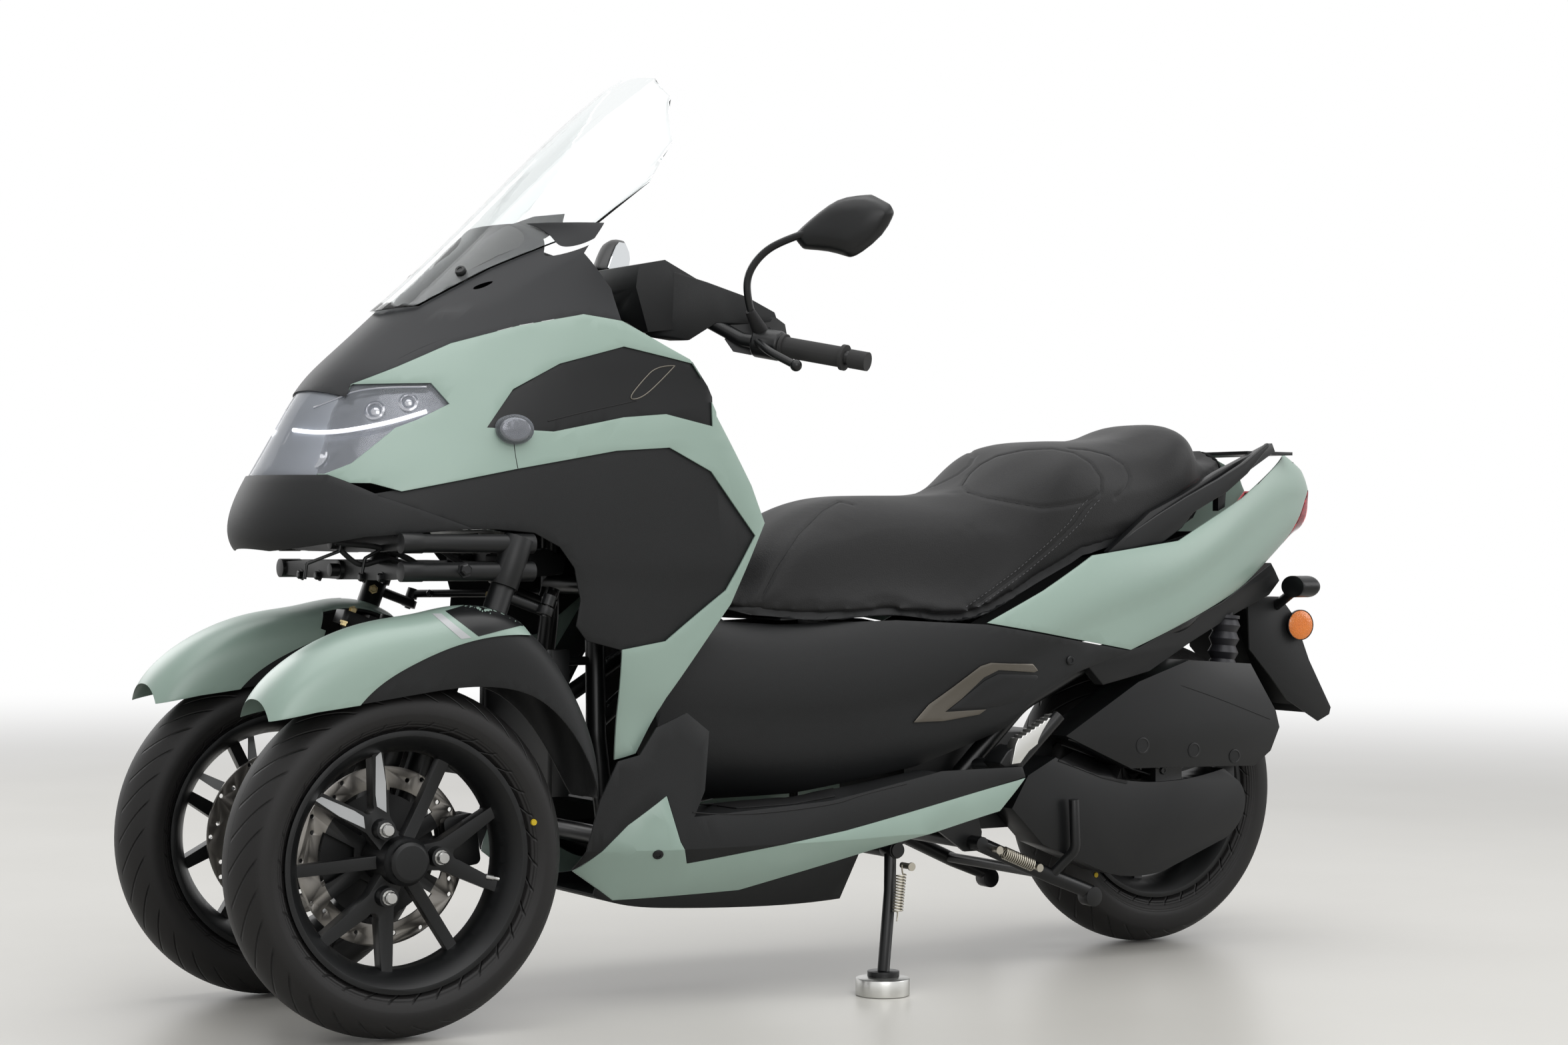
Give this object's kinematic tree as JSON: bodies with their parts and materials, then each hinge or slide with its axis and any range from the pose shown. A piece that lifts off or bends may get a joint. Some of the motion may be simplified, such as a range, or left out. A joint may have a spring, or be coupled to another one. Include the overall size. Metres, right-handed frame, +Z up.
{
  "type": "motorized trike",
  "caption": "Leaning three-wheeled scooter with paired front wheels, tilt linkage, wide seat over a storage box, parked on its side stand.",
  "frame": {"origin": "floor level under the middle of the whole object's box", "axes": "+X forward, +Y to the rider's left, +Z up"},
  "size_m": [2.2466, 0.8166, 1.488],
  "materials": {
    "tyre": "matt moulded rubber",
    "cast_black": "satin black powder coat on cast aluminium",
    "steel": "ground stainless steel",
    "black_steel": "satin black paint on steel",
    "black_plastic": "fine grained moulded plastic",
    "satin_plastic": "satin moulded plastic",
    "dark_paint": "matt dark grey paint on plastic",
    "green_paint": "satin sage green paint on plastic",
    "rubber": "moulded rubber",
    "lens": "clear moulded lens",
    "clear_screen": "clear polycarbonate",
    "red_lens": "red moulded lens",
    "seat_cover": "embossed black vinyl",
    "bare_aluminium": "machined aluminium"
  },
  "bodies": {
    "body": {"tilt_linkage": "black_steel", "upper_cowl": "dark_paint", "headlamp": "lens", "beak": "black_plastic", "vent_panels": "satin_plastic", "side_panels": "black_plastic", "side_fairings": "green_paint", "windscreen": "clear_screen", "meter_housing": "black_plastic", "leg_shield": "black_plastic", "floorboards": "black_plastic", "lower_blades": "green_paint", "belly_pan": "black_plastic", "side_covers": "dark_paint", "rear_covers": "green_paint", "tail_lamp": "red_lens", "storage_box": "black_plastic", "grab_rails": "black_steel", "rear_fender": "black_plastic", "indicators": "lens", "main_frame": "black_steel", "engine": "cast_black", "drive_cover": "cast_black", "muffler": "black_steel", "rear_shocks": "black_steel", "radiator": "black_plastic"},
    "steering": {"handlebar": "black_steel", "grips": "rubber", "levers": "black_plastic", "bar_cover": "black_plastic", "mirrors": "black_plastic"},
    "fork_left_turn": {"fork_left": "black_steel", "fender_left": "green_paint", "mudguard_left": "black_plastic"},
    "fork_right_turn": {"fork_right": "black_steel", "fender_right": "green_paint", "mudguard_right": "black_plastic"},
    "wheel_front_left": {"tyre_front_left": "tyre", "rim_front_left": "cast_black", "disc_front_left": "steel"},
    "wheel_front_right": {"tyre_front_right": "tyre", "rim_front_right": "cast_black", "disc_front_right": "steel"},
    "wheel_rear": {"tyre_rear": "tyre", "rim_rear": "cast_black", "disc_rear": "steel"},
    "tie_left": {"tie_rod_left": "black_steel"},
    "tie_right": {"tie_rod_right": "black_steel"},
    "side_leg": {"side_stand": "black_steel", "stand_puck": "bare_aluminium"},
    "centre_leg": {"centre_stand": "black_steel"},
    "seat_lid": {"seat": "seat_cover", "seat_base": "black_plastic"}
  },
  "joints": [
    {"name": "steer", "type": "hinge", "parent": "body", "child": "steering", "pos_m": [0.51248, 0, 0.8], "axis": [-0.342, 0, 0.9397], "range_deg": [-36, 36]},
    {"name": "steer_left_wheel", "type": "hinge", "parent": "body", "child": "fork_left_turn", "pos_m": [0.74726, 0.235, 0.5], "axis": [-0.342, 0, 0.9397], "range_deg": [-36, 36]},
    {"name": "steer_right_wheel", "type": "hinge", "parent": "body", "child": "fork_right_turn", "pos_m": [0.74726, -0.235, 0.5], "axis": [-0.342, 0, 0.9397], "range_deg": [-36, 36]},
    {"name": "tie_left_pin", "type": "hinge", "parent": "steering", "child": "tie_left", "pos_m": [0.49572, 0.012, 0.62969], "axis": [-0.342, 0, 0.9397], "range_deg": [-36, 36]},
    {"name": "tie_right_pin", "type": "hinge", "parent": "steering", "child": "tie_right", "pos_m": [0.49572, -0.012, 0.62969], "axis": [-0.342, 0, 0.9397], "range_deg": [-36, 36]},
    {"name": "spin_front_left", "type": "hinge", "parent": "fork_left_turn", "child": "wheel_front_left", "pos_m": [0.86125, 0.235, 0.262], "axis": [0, 1, 0], "continuous": true},
    {"name": "spin_front_right", "type": "hinge", "parent": "fork_right_turn", "child": "wheel_front_right", "pos_m": [0.86125, -0.235, 0.262], "axis": [0, 1, 0], "continuous": true},
    {"name": "spin_rear", "type": "hinge", "parent": "body", "child": "wheel_rear", "pos_m": [-0.73375, 0, 0.276], "axis": [0, 1, 0], "continuous": true},
    {"name": "side_stand_pivot", "type": "hinge", "parent": "body", "child": "side_leg", "pos_m": [-0.03525, 0.212, 0.225], "axis": [0, 1, 0], "range_deg": [0, 75]},
    {"name": "centre_stand_pivot", "type": "hinge", "parent": "body", "child": "centre_leg", "pos_m": [-0.26625, 0, 0.215], "axis": [0, 1, 0], "range_deg": [-80, 0]},
    {"name": "seat_hinge", "type": "hinge", "parent": "body", "child": "seat_lid", "pos_m": [0.21375, 0, 0.618], "axis": [0, 1, 0], "range_deg": [0, 38]}
  ],
  "couplings": [
    {"joint": "steer_left_wheel", "follows": "steer", "ratio": 1},
    {"joint": "steer_right_wheel", "follows": "steer", "ratio": 1},
    {"joint": "tie_left_pin", "follows": "steer", "ratio": -1},
    {"joint": "tie_right_pin", "follows": "steer", "ratio": -1}
  ]
}
